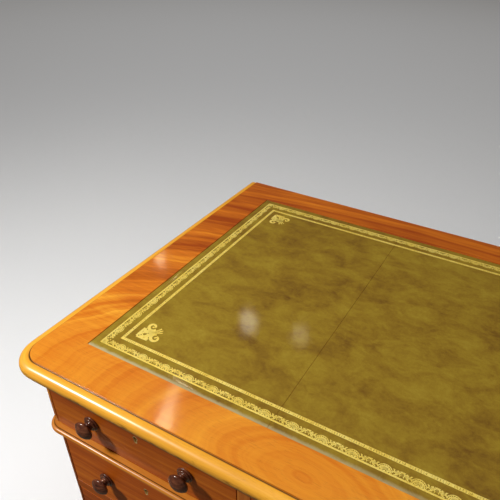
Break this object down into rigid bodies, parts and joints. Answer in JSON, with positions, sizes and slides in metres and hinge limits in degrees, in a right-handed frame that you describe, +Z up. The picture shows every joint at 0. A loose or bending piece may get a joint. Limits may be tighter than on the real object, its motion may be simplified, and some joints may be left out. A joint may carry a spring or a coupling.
{
  "type": "writing desk with drawers",
  "caption": "Twin-pedestal writing desk with a leather top, moulded edges, turned knobs and locks on its sliding drawers.",
  "frame": {"origin": "middle of the floor rectangle under the desk, at floor level", "axes": "+Z up, +X to the sitter's right along the top, +Y from the sitter towards the back; the drawers open towards -Y"},
  "size_m": [1.315, 0.684, 0.762],
  "materials": {
    "case_wood": "french polish",
    "front_wood": "french polish",
    "nosing_wood": "french polish",
    "inner_wood": "unpolished",
    "knob_wood": "french polish",
    "brass": "aged",
    "leather": "glazed",
    "gilt": "gold leaf",
    "steel": "dull"
  },
  "bodies": {
    "carcase": {"top_board": "case_wood", "top_nosing": "nosing_wood", "writing_leather": "leather", "frieze_left_end": "case_wood", "frieze_right_end": "case_wood", "frieze_back": "case_wood", "frieze_dividers": "case_wood", "frieze_top_rails": "case_wood", "frieze_base": "case_wood", "waist_moulding": "nosing_wood", "left_outer_side": "case_wood", "left_inner_side": "case_wood", "left_back": "case_wood", "left_pedestal_top": "case_wood", "left_drawer_rails": "inner_wood", "left_bottom": "case_wood", "left_plinth": "case_wood", "right_outer_side": "case_wood", "right_inner_side": "case_wood", "right_back": "case_wood", "right_pedestal_top": "case_wood", "right_drawer_rails": "inner_wood", "right_bottom": "case_wood", "right_plinth": "case_wood"},
    "frieze_left_drawer": {"frieze_left_drawer_front": "front_wood", "frieze_left_drawer_box": "inner_wood", "frieze_left_drawer_knobs": "knob_wood", "frieze_left_drawer_lock": "brass"},
    "frieze_middle_drawer": {"frieze_middle_drawer_front": "front_wood", "frieze_middle_drawer_box": "inner_wood", "frieze_middle_drawer_knobs": "knob_wood", "frieze_middle_drawer_lock": "brass"},
    "frieze_right_drawer": {"frieze_right_drawer_front": "front_wood", "frieze_right_drawer_box": "inner_wood", "frieze_right_drawer_knobs": "knob_wood", "frieze_right_drawer_lock": "brass"},
    "left_top_drawer": {"left_top_drawer_front": "front_wood", "left_top_drawer_box": "inner_wood", "left_top_drawer_knobs": "knob_wood", "left_top_drawer_lock": "brass"},
    "left_middle_drawer": {"left_middle_drawer_front": "front_wood", "left_middle_drawer_box": "inner_wood", "left_middle_drawer_knobs": "knob_wood", "left_middle_drawer_lock": "brass"},
    "left_bottom_drawer": {"left_bottom_drawer_front": "front_wood", "left_bottom_drawer_box": "inner_wood", "left_bottom_drawer_knobs": "knob_wood", "left_bottom_drawer_lock": "brass"},
    "right_top_drawer": {"right_top_drawer_front": "front_wood", "right_top_drawer_box": "inner_wood", "right_top_drawer_knobs": "knob_wood", "right_top_drawer_lock": "brass"},
    "right_middle_drawer": {"right_middle_drawer_front": "front_wood", "right_middle_drawer_box": "inner_wood", "right_middle_drawer_knobs": "knob_wood", "right_middle_drawer_lock": "brass"},
    "right_bottom_drawer": {"right_bottom_drawer_front": "front_wood", "right_bottom_drawer_box": "inner_wood", "right_bottom_drawer_knobs": "knob_wood", "right_bottom_drawer_lock": "brass"}
  },
  "joints": [
    {"name": "frieze_left_drawer_slide", "type": "slide", "parent": "carcase", "child": "frieze_left_drawer", "axis": [0, -1, 0], "range_m": [0, 0.38]},
    {"name": "frieze_middle_drawer_slide", "type": "slide", "parent": "carcase", "child": "frieze_middle_drawer", "axis": [0, -1, 0], "range_m": [0, 0.38]},
    {"name": "frieze_right_drawer_slide", "type": "slide", "parent": "carcase", "child": "frieze_right_drawer", "axis": [0, -1, 0], "range_m": [0, 0.38]},
    {"name": "left_top_drawer_slide", "type": "slide", "parent": "carcase", "child": "left_top_drawer", "axis": [0, -1, 0], "range_m": [0, 0.38]},
    {"name": "left_middle_drawer_slide", "type": "slide", "parent": "carcase", "child": "left_middle_drawer", "axis": [0, -1, 0], "range_m": [0, 0.38]},
    {"name": "left_bottom_drawer_slide", "type": "slide", "parent": "carcase", "child": "left_bottom_drawer", "axis": [0, -1, 0], "range_m": [0, 0.38]},
    {"name": "right_top_drawer_slide", "type": "slide", "parent": "carcase", "child": "right_top_drawer", "axis": [0, -1, 0], "range_m": [0, 0.38]},
    {"name": "right_middle_drawer_slide", "type": "slide", "parent": "carcase", "child": "right_middle_drawer", "axis": [0, -1, 0], "range_m": [0, 0.38]},
    {"name": "right_bottom_drawer_slide", "type": "slide", "parent": "carcase", "child": "right_bottom_drawer", "axis": [0, -1, 0], "range_m": [0, 0.38]}
  ]
}
